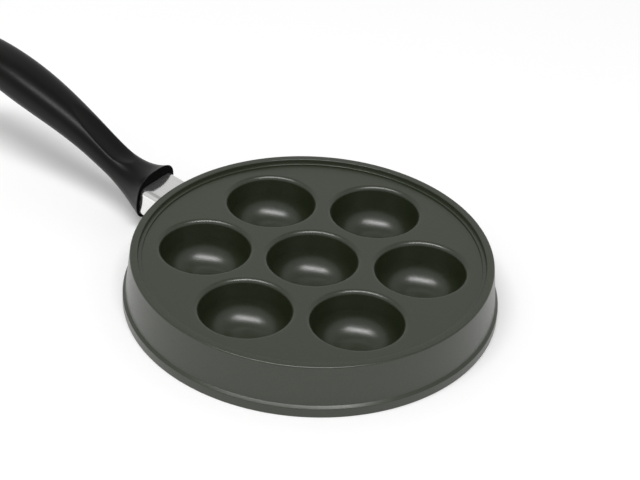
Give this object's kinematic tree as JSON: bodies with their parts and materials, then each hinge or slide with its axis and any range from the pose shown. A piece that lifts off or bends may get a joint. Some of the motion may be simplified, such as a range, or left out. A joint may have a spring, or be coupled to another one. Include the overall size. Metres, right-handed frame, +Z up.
{
  "type": "stuffed pancake pan",
  "caption": "Round cast pan with deep bowl-shaped wells for filled pancakes, a raised rim, a foot band, a flame guard and a rising moulded handle.",
  "frame": {"origin": "on the pan's axis, on the surface that the pan stands on", "axes": "+Z up, +X from the pan's axis to the handle's tail, +Y to the left of the handle as seen from above"},
  "size_m": [0.4399, 0.2394, 0.0838],
  "materials": {
    "coated_casting": "dark grey non-stick coat, satin, finely speckled",
    "guard_steel": "polished",
    "phenolic": "black phenolic, satin",
    "screw_steel": "plain zinc-plated"
  },
  "bodies": {
    "root": {"pan_body": "coated_casting", "flame_guard": "guard_steel", "handle": "phenolic", "handle_screw": "screw_steel", "screw_washer": "screw_steel"}
  },
  "joints": []
}
